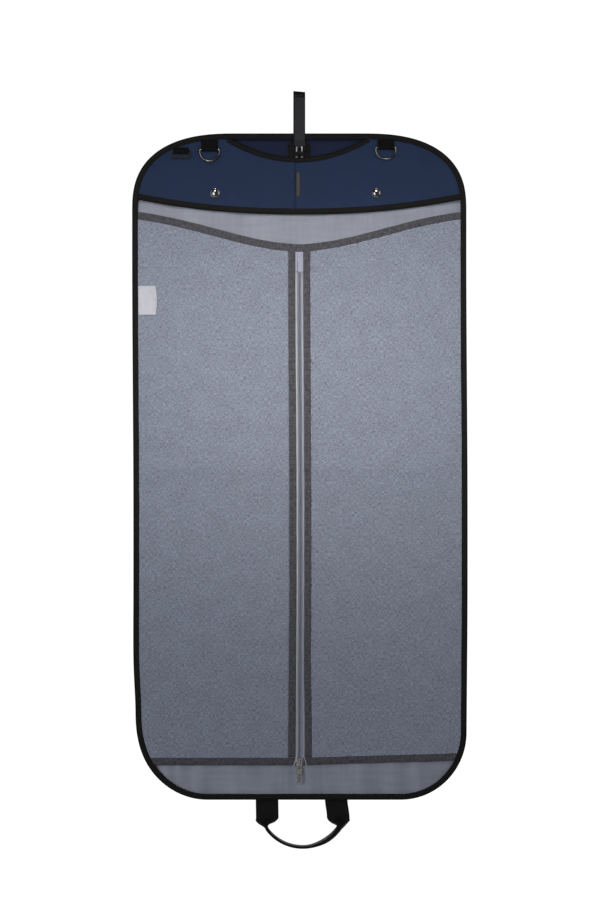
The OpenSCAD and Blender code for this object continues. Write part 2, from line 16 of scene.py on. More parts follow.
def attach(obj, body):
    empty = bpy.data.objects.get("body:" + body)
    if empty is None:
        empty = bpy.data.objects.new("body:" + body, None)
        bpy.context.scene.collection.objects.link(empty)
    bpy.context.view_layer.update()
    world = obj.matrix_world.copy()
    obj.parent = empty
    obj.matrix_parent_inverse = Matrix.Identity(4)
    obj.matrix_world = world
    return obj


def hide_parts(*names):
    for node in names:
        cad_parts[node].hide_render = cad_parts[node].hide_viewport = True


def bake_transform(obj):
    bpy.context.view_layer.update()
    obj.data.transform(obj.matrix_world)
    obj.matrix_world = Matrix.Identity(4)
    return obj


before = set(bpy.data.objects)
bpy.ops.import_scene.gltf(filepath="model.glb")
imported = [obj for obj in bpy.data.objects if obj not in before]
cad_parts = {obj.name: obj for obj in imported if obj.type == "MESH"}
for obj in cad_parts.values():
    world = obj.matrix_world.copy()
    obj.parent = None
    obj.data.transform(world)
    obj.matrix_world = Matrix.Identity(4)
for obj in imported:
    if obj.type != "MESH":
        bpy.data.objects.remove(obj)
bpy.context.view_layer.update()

MM = 0.001
rng = random.Random(11)

# ---- The bag's own dimensions, as in the CAD ----
HALF_W = 280
TOP, BOTTOM, FOLD = 28, -1088, -530
BINDING_W = 10
EDGE_INSET = 1.2
TOP_CORNER = (172, 127, 2.5)      # width, height and exponent of a corner's curve
LOW_CORNERS = {-1: (126, 143, 2), 1: (110, 112, 2)}
LINING, FOAM, SHELL = 0, 0.5, 3.5  # depth of each layer's front face
YOKE, MESH = -7.0, -6.8
FACING_LOW = -52
HEM_W, TAPE_W, SCOOP_W = 10, 12.5, 8.5
SCOOP_X, SCOOP_REACH = -2, 116
SEAM_X = -6
TAG_X = (SEAM_X + 0.7, SEAM_X + 8)
STUD_REACH, STUD_Z = 135, -72
ZIP_SHOWN, ZIP_TOP = 6.6, -170.5   # half the width left open between the bands; the zip is at X = 0
TAB_LEN = 34
SLIDER_Z = BOTTOM + 63
MESH_BOTTOM = BOTTOM + 58
RINGS = ((-150, 0.5, 28), (145, 3.5, 28))   # X and Z of each bar, width of its tab
SIDE_LOOP = (-198, -3.5, 25)
LEVER_PIN_Y = -8.8
STRAP_W, STRAP_HINGE, STRAP_TOP = 20, (LEVER_PIN_Y, 30), 98
HANDLE_X, HANDLE_REACH, HANDLE_W, HANDLE_Y = 4, 58, 38, 2
GRIP_R, GRIP_Z, GRIP_ANGLE, GRIP_DEPTH = 75, -1093, 58, 19
MESH_EDGE = 15.6                  # from the zip's centre line to each mesh panel
SHELL_INSET = 4
RING_TAB_WALL = 1.36              # from a ring's bar to the outside of its tab, with the clearance

# Stitches: the pitch, the length of one, and the thread's radius
BOLD_STITCH = (3.2, 2.3, 0.2)
FINE_STITCH = (3.0, 2.1, 0.17)

FRONT = Vector((0, -1, 0))
SIDEWAYS = Vector((1, 0, 0))


# ---- Edges of the layers: Z at each X ----
def hem(x):
    """Lower edge of the yoke."""
    return -108 + 27 * abs(x / HALF_W) ** 2.2


def vee(x):
    """Top edge of the mesh panels."""
    return -158 + 55 * (0.3 * (1 - math.cos(math.pi * x / HALF_W)) + 0.4 * abs(x / HALF_W) ** 1.2)


def scoop(x):
    """Lower edge of the scoop in the yoke's top."""
    return -21 + 34 * ((x - SCOOP_X) / SCOOP_REACH) ** 2


def mesh_hem(x):
    """Lower edge of the mesh panels."""
    return MESH_BOTTOM + 8 * max(0, x) / HALF_W


def corner_height(x, inset, corner):
    """How far the outline stands above its corner's centre line at x, or 0 past its end."""
    a, b, power = corner
    reach = max(0.0, abs(x) - (HALF_W - a)) / (a - inset)
    return (b - inset) * max(0.0, 1 - reach**power) ** (1 / power)


def outline_high(x, inset):
    return TOP - TOP_CORNER[1] + corner_height(x, inset, TOP_CORNER)


def outline_low(x, inset):
    corner = LOW_CORNERS[1 if x > 0 else -1]
    return BOTTOM + corner[1] - corner_height(x, inset, corner)


def smooth(t):
    t = min(1.0, max(0.0, t))
    return t * t * (3 - 2 * t)


def ripple(x, z, wide, tall, seed):
    """Smooth noise from about -1 to 1, with features of that width and height."""
    return noise.noise(Vector((x / wide, seed * 7.3, z / tall)))


def lean(x, z):
    """How far the hanging cloth has shifted to the right: a slow sway, and a tuck in its left side."""
    sway = 2.1 * smooth((-170 - z) / 450) * smooth((z - BOTTOM) / 380)
    tuck = 5.0 * math.exp(-((z + 950) / 70) ** 2) * smooth(-x / HALF_W)
    return sway + tuck


# ---- How each layer stands off its flat place: Y of its front face ----
def mesh_front(x, z):
    """Soft waves, with a ridge left by the fold. The mesh is flatter beside the zip and at its sides."""
    above = z - (FOLD - 4)
    ridge = 5.0 * math.exp(-above / 80 if above > 0 else above / 26)
    waves = 1.1 * ripple(x, z, 170, 120, 1) + 0.5 * ripple(x, z, 60, 45, 2)
    small = 0.16 * ripple(x, z, 14, 10, 3)
    edge = smooth((HALF_W - BINDING_W - abs(x)) / 30)
    seam = smooth((abs(x) - 15) / 25)
    return MESH - (ridge + waves) * edge * (0.35 + 0.65 * seam) - small


def yoke_front(x, z):
    """Gentle waves, held flat by the binding."""
    waves = 0.9 * ripple(x, z, 120, 90, 5) + 0.25 * ripple(x, z, 30, 30, 6)
    edge = smooth((outline_high(x, BINDING_W) - z) / 25) * smooth((HALF_W - BINDING_W - abs(x)) / 25)
    return YOKE - waves * edge


def lining_front(x, z):
    """Soft upright folds. They always stand proud of the foam, and lie flat under the facing."""
    slant = x + 0.12 * z
    folds = 1.6 + 2.8 * ripple(slant, z, 15, 120, 8) + 2.2 * ripple(x, z, 44, 100, 9)
    proud = (folds + math.hypot(folds, 0.8)) / 2
    loose = 0.1 + 0.9 * smooth((-60 - z) / 45)
    edge = smooth((HALF_W - BINDING_W - abs(x)) / 25)
    return LINING - proud * loose * edge


def facing_front(x, z):
    """The facing lies on the lining, and lifts a little away from the top edge."""
    rise = smooth((outline_high(x, BINDING_W) - z) / 20)
    return lining_front(x, z) - 0.7 - rise * (0.2 + 0.3 * ripple(x, z, 50, 30, 21))


def shell_back(x, z):
    """How far the padding swells out behind, with a crease along the fold."""
    edge = smooth((HALF_W - abs(x)) / 60) * smooth((z - BOTTOM) / 60) * smooth((TOP - z) / 60)
    crease = 0.8 * math.exp(-((z - FOLD) / 9) ** 2)
    return (1.6 + 0.6 * ripple(x, z, 150, 150, 12) + 0.25 * ripple(x, z, 40, 40, 13)) * edge - crease


# ---- Meshes ----
def in_scene(name, data):
    """A new object in the scene, with this data."""
    obj = bpy.data.objects.new(name, data)
    bpy.context.scene.collection.objects.link(obj)
    return obj


def make(name, points, faces, corner_uvs, material):
    """An object from points in millimetres, leaning as the bag does, and one UV for each face corner."""
    mesh = bpy.data.meshes.new(name)
    placed = [((x + lean(x, z)) * MM, y * MM, z * MM) for x, y, z in points]
    mesh.from_pydata(placed, [], faces)
    uv = mesh.uv_layers.new(name="Cloth")
    uv.data.foreach_set("uv", (np.array(corner_uvs, float) * MM).ravel())
    mesh.polygons.foreach_set("use_smooth", [True] * len(faces))
    mesh.materials.append(material)
    mesh.update()
    return in_scene(name, mesh)


def columns(x0, x1, step=6.0):
    """Column positions from x0 to x1, closer together towards the bag's two sides."""
    count = max(2, round((x1 - x0) / step))
    a, b = (math.asin(max(-1, min(1, x / (HALF_W - EDGE_INSET)))) for x in (x0, x1))
    return [(HALF_W - EDGE_INSET) * math.sin(a + (b - a) * i / count) for i in range(count + 1)]


def panel(name, xs, low, high, front, thickness, material, step=6.0):
    """A sheet of cloth between two edges low(x) and high(x), with its two faces and its rim."""
    rows = max(4, round(max(high(x) - low(x) for x in xs) / step))
    grid = [(x, low(x) + (high(x) - low(x)) * k / rows) for x in xs for k in range(rows + 1)]
    fronts = [(x, front(x, z), z) for x, z in grid]
    points = fronts + [(x, y + thickness, z) for x, y, z in fronts]
    tall, wide, other = rows + 1, len(xs), len(grid)
    faces = []
    for i in range(wide - 1):
        for k in range(rows):
            a = i * tall + k
            faces.append((a, a + tall, a + tall + 1, a + 1))
            faces.append((other + a, other + a + 1, other + a + tall + 1, other + a + tall))
        for a, b in ((i * tall, (i + 1) * tall), ((i + 1) * tall + rows, i * tall + rows)):
            faces.append((a, other + a, other + b, b))
    for k in range(rows):
        last = (wide - 1) * tall
        faces.append((k + 1, other + k + 1, other + k, k))
        faces.append((last + k, other + last + k, other + last + k + 1, last + k + 1))
    flat = grid + grid
    return make(name, points, faces, [flat[v] for face in faces for v in face], material)


def running(steps):
    """The total of the steps so far, from 0."""
    return np.concatenate([[0], np.cumsum(steps)])


def sweep(name, stations, section, material, closed=False):
    """A closed section of (across, out) pairs carried along stations, which are Vectors (centre,
    across, out) in millimetres. section can also be a list with one section for each station."""
    sections = section if isinstance(section[0], list) else [section] * len(stations)
    count = len(sections[0])
    points = [
        centre + across * a + out * n
        for (centre, across, out), section in zip(stations, sections)
        for a, n in section
    ]
    ring = sections[0] + sections[0][:1]
    girth = running([math.dist(p, q) for p, q in zip(ring, ring[1:])])
    centres = [s[0] for s in stations] + ([stations[0][0]] if closed else [])
    run = running([(q - p).length for p, q in zip(centres, centres[1:])])
    faces, uvs = [], []
    for i in range(len(centres) - 1):
        here, there = i * count, (i + 1) % len(stations) * count
        for j in range(count):
            k = (j + 1) % count
            faces.append((here + j, here + k, there + k, there + j))
            uvs += [(girth[j], run[i]), (girth[j + 1], run[i])]
            uvs += [(girth[j + 1], run[i + 1]), (girth[j], run[i + 1])]
    if not closed:
        last = (len(stations) - 1) * count
        for cap in (tuple(range(count))[::-1], tuple(range(last, last + count))):
            faces.append(cap)
            uvs += [(girth[v % count], 0) for v in cap]
    return make(name, points, faces, uvs, material)


def flat_section(width, thickness, crown=0.0, cuts=8):
    """A flat tape's section, centred, with rounded edges and a slightly crowned face."""
    half, t = width / 2, thickness / 2
    side = [-half + width * k / cuts for k in range(cuts + 1)]

    def lift(a):
        return crown * (1 - (a / half) ** 2)

    inner = [max(-half + t, min(half - t, a)) for a in side]
    front = [(a, t + lift(a)) for a in inner]
    back = [(a, -t) for a in reversed(inner)]
    return front + [(half - 0.3 * t, t * 0.7), (half, 0.0), (half - 0.3 * t, -0.7 * t)] + back + [
        (-half + 0.3 * t, -0.7 * t), (-half, 0.0), (-half + 0.3 * t, 0.7 * t)]


def folded_section(width, cloth, tape, puff=0.25):
    """A tape folded round a cloth edge: the fold is at 0, the front of the cloth at 0 outwards."""
    outside = [
        (width, 0.05), (width, tape * 0.8), (width - 0.5, tape), (width * 0.75, tape + puff * 0.7),
        (width * 0.5, tape + puff), (width * 0.22, tape + puff * 0.9), (0.7, tape * 0.8), (0.12, 0.0)]
    inside = [(1.1, 0.0), (width * 0.5, 0.02)]

    def behind(points):
        return [(a, -cloth - n) for a, n in reversed(points)]

    round_fold = outside + [(0.0, -cloth / 2)] + behind(outside)
    return round_fold + behind(inside) + [(0.8, -cloth / 2)] + inside


def edge_stations(curve, depth, x0, x1, step=5.0, inward=1, wobble=0.25, seed=0):
    """Stations along a curve across the bag, with across pointing into the cloth."""
    count = max(2, round((x1 - x0) / step))
    stations = []
    for i in range(count + 1):
        x = x0 + (x1 - x0) * i / count
        slope = curve(x + 0.5) - curve(x - 0.5)
        across = Vector((-slope, 0, 1)).normalized() * inward
        z = curve(x) + wobble * ripple(x, 0, 17, 1, seed)
        stations.append((Vector((x, depth(x, z), z)), across, FRONT))
    return stations


def upright_stations(x, depth, low, high, step=6.0, wobble=0.3, seed=0):
    """Stations up a tape that runs along the zip."""
    count = max(2, round((high - low) / step))
    stations = []
    for i in range(count + 1):
        z = low + (high - low) * i / count
        at = x + wobble * ripple(0, z, 1, 23, seed)
        stations.append((Vector((at, depth(x, z), z)), SIDEWAYS, FRONT))
    return stations


def outline_points(inset, step=5.0):
    """The bag's outline at that inset, evenly spaced, with the direction into the bag at each point."""
    ring = []
    for side in (1, -1):
        low = LOW_CORNERS[side]
        half = []
        for corner, centre_z, way, angles in (
            (low, BOTTOM + low[1], -1, range(90, -1, -3)),
            (TOP_CORNER, TOP - TOP_CORNER[1], 1, range(0, 91, 3)),
        ):
            a, b, power = corner
            for degrees in angles:
                t = math.radians(degrees)
                x = HALF_W - a + (a - inset) * max(0.0, math.cos(t)) ** (2 / power)
                z = centre_z + way * (b - inset) * max(0.0, math.sin(t)) ** (2 / power)
                half.append(Vector((side * x, 0, z)))
        ring += half[::side]
    ring = resample(ring + ring[:1], step)[:-1]
    found = []
    for i, p in enumerate(ring):
        along = (ring[(i + 1) % len(ring)] - ring[i - 1]).normalized()
        found.append((p, Vector((-along.z, 0, along.x))))
    return found


def resample(path, step):
    """Points along a path of Vectors at even steps, both ends kept."""
    lengths = running([(b - a).length for a, b in zip(path, path[1:])])
    count = max(1, round(lengths[-1] / step))
    where = np.linspace(0, lengths[-1], count + 1)
    axes = [np.interp(where, lengths, [p[k] for p in path]) for k in range(3)]
    return [Vector(p) for p in zip(*axes)]


def heading(path, i):
    """The direction of a path at its point i."""
    return (path[min(i + 1, len(path) - 1)] - path[max(i - 1, 0)]).normalized()


def rounded_path(corners, radius=2.5, cuts=6):
    """A path through corner points, with each inner corner rounded."""
    path = [corners[0]]
    for before, at, after in zip(corners, corners[1:], corners[2:]):
        start = at + (before - at).normalized() * min(radius, (before - at).length / 2)
        end = at + (after - at).normalized() * min(radius, (after - at).length / 2)
        path += [start.lerp(at, t).lerp(at.lerp(end, t), t) for t in (k / cuts for k in range(cuts + 1))]
    return path + [corners[-1]]


def side_ribbon(name, x, corners, width, thickness, material, radius=2.5, step=1.2, tilt=None):
    """Flat webbing whose centre line runs in the bag's depth and height, as (y, z) corners."""
    path = resample(rounded_path([Vector((x, y, z)) for y, z in corners], radius), step)
    stations = []
    for i, p in enumerate(path):
        along = heading(path, i)
        across = Vector((1, 0, tilt(p.z) if tilt else 0))
        stations.append((p, across, Vector((0, -along.z, along.y))))
    section = flat_section(width, thickness, 0.12)
    return sweep(name, stations, section, material)


def row_along(curve, up, front, lift, x0, x1, count):
    """A row for stitches, that far above a curve across the bag and lifted off the layer's front."""
    return [Vector((x, front(x, curve(x)) - lift, curve(x) + up)) for x in np.linspace(x0, x1, count)]


def circle(radius, sides):
    """Points (a, b) round a circle."""
    turns = [2 * math.pi * k / sides for k in range(sides)]
    return [(radius * math.cos(t), radius * math.sin(t)) for t in turns]


SPINDLE_SIDES = 5


def spindle(centre, along, reach, radius):
    """The points of one stitch: a tip, two rings and the other tip."""
    u = along.cross(FRONT).normalized()
    points = [centre - along * reach]
    for share in (-0.55, 0.55):
        middle = centre + along * reach * share
        points += [middle + (u * a + FRONT * b) * radius for a, b in circle(1, SPINDLE_SIDES)]
    return points + [centre + along * reach]


def spindle_faces(first):
    """The faces round one stitch, for each of its sides, when its first point has that number."""
    ring, last = first + 1, first + 2 * SPINDLE_SIDES + 1
    sides = []
    for k in range(SPINDLE_SIDES):
        p, q = ring + k, ring + (k + 1) % SPINDLE_SIDES
        above = p + SPINDLE_SIDES, q + SPINDLE_SIDES
        sides.append([(first, q, p), (p, q, above[1], above[0]), (*above, last)])
    return sides


def threads(name, paths, pitch, length, radius, material, loose=0.0):
    """Rows of stitches along the paths, a spindle for each. loose scatters them, like frayed yarn."""
    points, faces, uvs = [], [], []
    for path in paths:
        spots = resample(path, pitch)
        for a, b in zip(spots, spots[1:]):
            if loose and rng.random() < 0.35:
                continue
            centre = (a + b) / 2
            along = (b - a).normalized()
            if loose:
                turn = Vector((rng.uniform(-1, 1), 0.3 * rng.uniform(-1, 1), rng.uniform(-1, 1)))
                along = (along + turn * loose).normalized()
                centre = centre + Vector((rng.uniform(-1, 1), 0, rng.uniform(-1, 1))) * loose
            reach = length / 2 * (rng.uniform(0.6, 1.3) if loose else rng.uniform(0.94, 1.06))
            for k, side in enumerate(spindle_faces(len(points))):
                faces += side
                uvs += [(k, 0)] * sum(len(face) for face in side)
            points += spindle(centre, along, reach, radius)
    return make(name, points, faces, uvs, material)


# ---- Materials ----
def rgb(r, g, b):
    """An sRGB colour out of 255 as the linear colour that shaders take."""
    def linear(v):
        v /= 255
        return v / 12.92 if v <= 0.04045 else ((v + 0.055) / 1.055) ** 2.4
    return (linear(r), linear(g), linear(b), 1)


class Graph:
    """One material's nodes, with short calls for the kinds used here. Lengths are in millimetres."""

    def __init__(self, name, on_cloth, **sockets):
        self.material = bpy.data.materials.new(name)
        self.material.use_nodes = True
        self.nodes = self.material.node_tree.nodes
        self.links = self.material.node_tree.links
        self.shader = self.nodes["Principled BSDF"]
        for socket, value in sockets.items():
            self.shader.inputs[socket.replace("_", " ")].default_value = value
        if on_cloth:
            place = self.nodes.new("ShaderNodeUVMap")
            place.uv_map = "Cloth"
            self.place = place.outputs["UV"]
        else:
            self.place = self.nodes.new("ShaderNodeTexCoord").outputs["Object"]

    def put(self, socket, value):
        if isinstance(value, bpy.types.NodeSocket):
            self.links.new(value, socket)
        else:
            socket.default_value = value

    def math(self, operation, a, b=0.5, clamp=False):
        node = self.nodes.new("ShaderNodeMath")
        node.operation, node.use_clamp = operation, clamp
        self.put(node.inputs[0], a)
        self.put(node.inputs[1], b)
        return node.outputs[0]

    def scaled(self, *sizes):
        """The place on the surface, in units of the given sizes."""
        node = self.nodes.new("ShaderNodeMapping")
        self.put(node.inputs["Vector"], self.place)
        node.inputs["Scale"].default_value = [1 / (MM * size) for size in sizes]
        return node.outputs["Vector"]

    def noise(self, *sizes, detail=2.0):
        node = self.nodes.new("ShaderNodeTexNoise")
        self.put(node.inputs["Vector"], self.scaled(*sizes))
        node.inputs["Scale"].default_value = 1
        node.inputs["Detail"].default_value = detail
        return node.outputs["Fac"]

    def wave(self, size, direction):
        """Even ribs, from 0 to 1, one every size, across X, Y or Z."""
        node = self.nodes.new("ShaderNodeTexWave")
        self.put(node.inputs["Vector"], self.scaled(size, size, size))
        node.bands_direction = direction
        node.inputs["Scale"].default_value = math.pi / 10  # the node draws 10 / pi ribs in one unit
        return node.outputs["Fac"]

    def near(self, axis, centre, reach, soft):
        """1 within reach of a centre along one axis, fading to 0 over a soft edge. All in millimetres."""
        node = self.nodes.new("ShaderNodeSeparateXYZ")
        self.put(node.inputs["Vector"], self.scaled(1, 1, 1))
        away = self.math("ABSOLUTE", self.math("SUBTRACT", node.outputs[axis], centre))
        return self.math("DIVIDE", self.math("SUBTRACT", reach + soft, away), soft, clamp=True)

    def blend(self, parts):
        """0.5 plus each (pattern, weight)'s own sway round 0.5."""
        total = 0.5
        for pattern, weight in parts:
            sway = self.math("MULTIPLY", self.math("SUBTRACT", pattern, 0.5), weight)
            total = self.math("ADD", total, sway)
        return self.math("ADD", total, 0.0, clamp=True)

    def mixed(self, fac, a, b):
        node = self.nodes.new("ShaderNodeMix")
        node.data_type = "RGBA"
        self.put(node.inputs["Factor"], fac)
        self.put(node.inputs["A"], a)
        self.put(node.inputs["B"], b)
        return node.outputs["Result"]

    def colour(self, fac, a, b, mask=None, painted_edge_shade=None):
        """The base colour from a to b, and outside the mask a plain colour instead: the painted shade on
        a tape's edges.
        """
        found = self.mixed(fac, a, b)
        if mask is not None:
            found = self.mixed(mask, painted_edge_shade, found)
        self.links.new(found, self.shader.inputs["Base Color"])

    def roughness(self, pattern, low, high):
        node = self.nodes.new("ShaderNodeMapRange")
        self.put(node.inputs["Value"], pattern)
        node.inputs["To Min"].default_value, node.inputs["To Max"].default_value = low, high
        self.links.new(node.outputs["Result"], self.shader.inputs["Roughness"])

    def bump(self, height, distance, strength=1.0):
        node = self.nodes.new("ShaderNodeBump")
        self.put(node.inputs["Height"], height)
        node.inputs["Distance"].default_value = distance * MM
        node.inputs["Strength"].default_value = strength
        self.links.new(node.outputs["Normal"], self.shader.inputs["Normal"])


def shade(colour, factor):
    return tuple(min(1.0, c * factor) for c in colour[:3]) + (1,)


def textile(
        name, colour, contrast, streaks, mottle, pitch, rough, relief,
        sheen=0.1, ribs=None, gloss=0.3, edges=None):
    """Woven cloth. streaks: (length, width, weight) of its yarns' uneven colour, both ways; on the satin
    they are painted sheen and shade of its folds. mottle: (size, weight) of soft patches, on the satin
    also
    painted sheen and shade. pitch: size of one woven cell. ribs: size of one rib across a tape.
    relief: depth of the weave. edges: (low, high, soft edge, shade) of a tape whose edges are darkened
    with painted shade, for the shading of its rounded crown."""
    g = Graph(name, True, **{"Sheen_Weight": sheen, "Sheen_Roughness": 0.5, "Specular_IOR_Level": gloss})
    long, thin, weight = streaks
    across, along = g.noise(long, thin, 1), g.noise(thin, long, 1)
    patches = g.noise(mottle[0], mottle[0], 1, detail=4)
    u, v = g.wave(pitch, "X"), g.wave(pitch if ribs is None else ribs, "Y")
    cell = g.math("MULTIPLY", u, v) if ribs is None else v
    pattern = g.blend([(across, weight), (along, weight), (patches, mottle[1]), (cell, 0.25)])
    mask = painted_edge_shade = None
    # Painted shade: the tape's edges are darkened, standing for the shading where its rounded crown turns
    # from the light.
    if edges:
        low, high, soft, dark = edges
        mask = g.near("X", (low + high) / 2, (high - low) / 2 - soft, soft)
        painted_edge_shade = shade(colour, dark)
    g.colour(pattern, shade(colour, 1 - contrast), shade(colour, 1 + contrast), mask, painted_edge_shade)
    g.roughness(patches, rough - 0.08, rough + 0.08)
    g.bump(g.blend([(across, 0.6), (along, 0.6), (cell, 1.0)]), relief)
    return g.material


def metal(name, colour, rough, wear_and_glints=0.15, patch=6):
    g = Graph(name, False, Metallic=1.0)
    patches, fine = g.noise(patch, patch, patch, detail=4), g.noise(0.5, 0.5, 0.5)
    # Patchy colour: mild wear on most metals; on the nickel the strong, small patches are painted glints
    # and painted dark reflections.
    g.colour(g.blend([(patches, 1.2)]), shade(colour, 1 - wear_and_glints), shade(colour, 1 + wear_and_glints))
    g.roughness(patches, rough * 0.7, rough * 1.4)
    g.bump(fine, 0.02, 0.5)
    return g.material


def plastic(name, colour, rough, grain=0.06, gloss=0.5):
    g = Graph(name, False, **{"Specular_IOR_Level": gloss})
    patches, fine = g.noise(9, 9, 9, detail=4), g.noise(0.6, 0.6, 0.6)
    g.colour(g.blend([(patches, 1.0), (fine, 0.4)]), shade(colour, 0.75), shade(colour, 1.3))
    g.roughness(patches, rough - 0.08, rough + 0.1)
    g.bump(fine, grain, 0.6)
    return g.material


def thread(name, colour):
    return textile(name, colour, 0.2, (1, 0.5, 0.5), (10, 0.5), 0.5, 0.7, 0.02, 0.0)


MESH_CLOTH = textile("mesh_cloth", rgb(143, 149, 163), 0.5, (5, 1.0, 1.6), (30, 0.3), 1.1, 0.85, 0.25)
# Its long soft streaks and broad patches are painted sheen and shade, standing for the light on its
# folds.
SATIN = textile(
    "satin", rgb(141, 144, 155), 0.09, (70, 8, 1.5), (35, 0.8), 0.5, 0.42, 0.01, 0.1, gloss=0.4)
NAVY = textile(
    "navy_weave", rgb(35, 49, 77), 0.16, (3, 0.9, 0.8), (45, 1.6), 0.9, 0.72, 0.12, 0.02, gloss=0.15)
FACING_CLOTH = textile(
    "navy_facing", rgb(31, 38, 61), 0.14, (3, 0.9, 0.8), (60, 0.8), 0.9, 0.75, 0.12, 0.02, gloss=0.1)
GROSGRAIN = textile(
    "grosgrain", rgb(80, 78, 83), 0.48, (7, 1.8, 1.4), (6, 1.3), 1.0, 0.8, 0.12, 0.05, ribs=1.1,
    gloss=0.2)
# Its edges are darkened with painted shade, for the shading of the rolled tape's crown.
BINDING = textile(
    "binding", rgb(22, 20, 18), 0.3, (4, 1.2, 0.6), (40, 0.6), 0.8, 0.62, 0.14, 0.0, ribs=0.9,
    gloss=0.12, edges=(0, BINDING_W, 2.4, 0.25))
WEBBING = textile(
    "webbing", rgb(11, 11, 11), 0.35, (6, 1.0, 0.6), (30, 0.5), 1.3, 0.66, 0.25, 0.0, ribs=1.4,
    gloss=0.1)
# Its edges are darkened with painted shade, for the shading of its crowned face.
STRAP = textile(
    "strap_webbing", rgb(52, 50, 52), 0.25, (8, 1.0, 0.7), (20, 0.5), 1.2, 0.6, 0.2, 0.0, ribs=1.2,
    gloss=0.15, edges=(0, STRAP_W, 2.4, 0.15))
HANDLE = textile(
    "handle_webbing", rgb(9, 9, 9), 0.35, (6, 1.2, 0.6), (30, 0.5), 1.4, 0.6, 0.3, 0.02, ribs=1.5,
    gloss=0.15)
ZIP_TAPE = textile("zip_tape", rgb(146, 148, 162), 0.16, (6, 0.8, 0.8), (30, 0.5), 0.7, 0.75, 0.1, 0.1)
ZIP_COIL = textile("zip_coil", rgb(158, 161, 178), 0.2, (2, 1, 0.5), (20, 0.4), 0.5, 0.4, 0.02, 0.0)
CREAM = textile("cream_cord", rgb(188, 188, 185), 0.16, (3, 0.8, 0.6), (9, 0.9), 0.7, 0.7, 0.08, 0.1)
LAVENDER = textile(
    "lavender_tab", rgb(166, 167, 184), 0.14, (4, 1, 0.6), (12, 0.6), 0.7, 0.6, 0.08, 0.1)
LABEL = textile("white_label", rgb(196, 195, 202), 0.1, (8, 0.8, 0.7), (9, 1.2), 0.5, 0.5, 0.03, 0.1)
# Its edges are darkened with painted shade: an outline that stands for the shadow round the tag.
TAG = textile(
    "coated_tag", rgb(66, 63, 58), 0.2, (3, 1.5, 0.5), (7, 0.9), 0.6, 0.55, 0.1, 0.0,
    edges=(*TAG_X, 1.3, 0.2))
FOAM_CLOTH = textile("foam", rgb(205, 205, 198), 0.1, (2, 1.5, 0.6), (15, 0.6), 0.9, 0.9, 0.15, 0.0)
PALE_YARN = textile("pale_yarn", rgb(186, 196, 212), 0.2, (2, 0.6, 0.7), (8, 0.8), 0.5, 0.8, 0.02, 0.1)
DARK_THREAD = thread("dark_thread", rgb(20, 20, 22))
GREY_THREAD = thread("grey_thread", rgb(96, 95, 103))
NAVY_THREAD = thread("navy_thread", rgb(30, 38, 66))

GUNMETAL = metal("gunmetal", rgb(102, 98, 93), 0.15)
# Its strong, small colour patches are painted glints and painted dark reflections.
NICKEL = metal("nickel", rgb(176, 172, 166), 0.2, 0.7, 1.8)
STEEL = metal("steel", rgb(180, 178, 174), 0.3)
CHROME = metal("dark_chrome", rgb(122, 120, 118), 0.1, 0.08)
BLACK_LOOP = plastic("black_loop", rgb(12, 11, 10), 0.4, 0.02, gloss=0.2)
MOULDED = plastic("moulded_black", rgb(8, 8, 8), 0.5, gloss=0.12)
BOARD = plastic("board", rgb(48, 48, 48), 0.8, 0.2)


def across_fold(piece, slot, *nodes):
    """A layer that runs over both halves, standing for its upper and lower CAD solids."""
    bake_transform(piece)
    return finished(piece, slot, *nodes)


def on(body, piece, slot, *nodes):
    """A piece that moves with one body."""
    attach(piece, body)
    return finished(piece, slot, *nodes)


def finished(piece, slot, *nodes):
    """Hides the CAD nodes that the piece stands for. The slot is not used."""
    if nodes:
        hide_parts(*nodes)
    return piece


def halves(stem):
    """The names of a layer's two CAD nodes."""
    return f"{stem}_upper", f"{stem}_lower"


# ---- Back panel ----
ALL_X = columns(EDGE_INSET - HALF_W, HALF_W - EDGE_INSET)


def low_edge(x):
    return outline_low(x, EDGE_INSET)


def high_edge(x):
    return outline_high(x, EDGE_INSET)


def build_back():
    lining = panel("satin_lining", ALL_X, low_edge, high_edge, lining_front, 0.5, SATIN)
    across_fold(lining, "satin_lining", *halves("lining"))

    pad = panel("foam_pad", ALL_X, low_edge, high_edge, lambda x, z: FOAM, 2.9, FOAM_CLOTH, 12)
    across_fold(pad, "foam", *halves("back_foam"))

    shell_x = columns(SHELL_INSET - HALF_W, HALF_W - SHELL_INSET)
    shell = panel(
        "outer_shell", shell_x,
        lambda x: outline_low(x, SHELL_INSET), lambda x: outline_high(x, SHELL_INSET),
        lambda x, z: SHELL + shell_back(x, z) - 0.1, 0.8, NAVY)
    across_fold(shell, "navy_shell", *halves("back_shell"))

    facing = panel(
        "top_facing_cloth", ALL_X, lambda x: min(FACING_LOW, high_edge(x) - 6), high_edge, facing_front,
        0.6, FACING_CLOTH, 4)
    on("upper_half", facing, "navy_facing", "top_facing")


def build_outer_binding():
    ring = outline_points(0)
    stations = [(p + Vector((0, YOKE + 0.1, 0)), inward, FRONT) for p, inward in ring]
    sections = []
    for i in range(len(ring)):
        wide = BINDING_W + 0.35 * ripple(i * 5, 0, 31, 1, 31)
        sections.append(folded_section(wide, 10.4, 0.85, 0.32))
    tape = sweep("outer_binding", stations, sections, BINDING, closed=True)
    across_fold(tape, "black_binding", *halves("outer_binding"))
    for face, y in (("front", YOKE - 1.0), ("back", 4.55)):
        inner = outline_points(BINDING_W - 1.6, 4)
        row = [p + Vector((0, y, 0)) for p, _ in inner]
        stitches = threads(f"binding_stitches_{face}", [row + row[:1]], *BOLD_STITCH, DARK_THREAD)
        across_fold(stitches, "black_binding")


# ---- Yoke ----
def yoke_top(x):
    return min(high_edge(x), scoop(x) + SCOOP_W - 1)


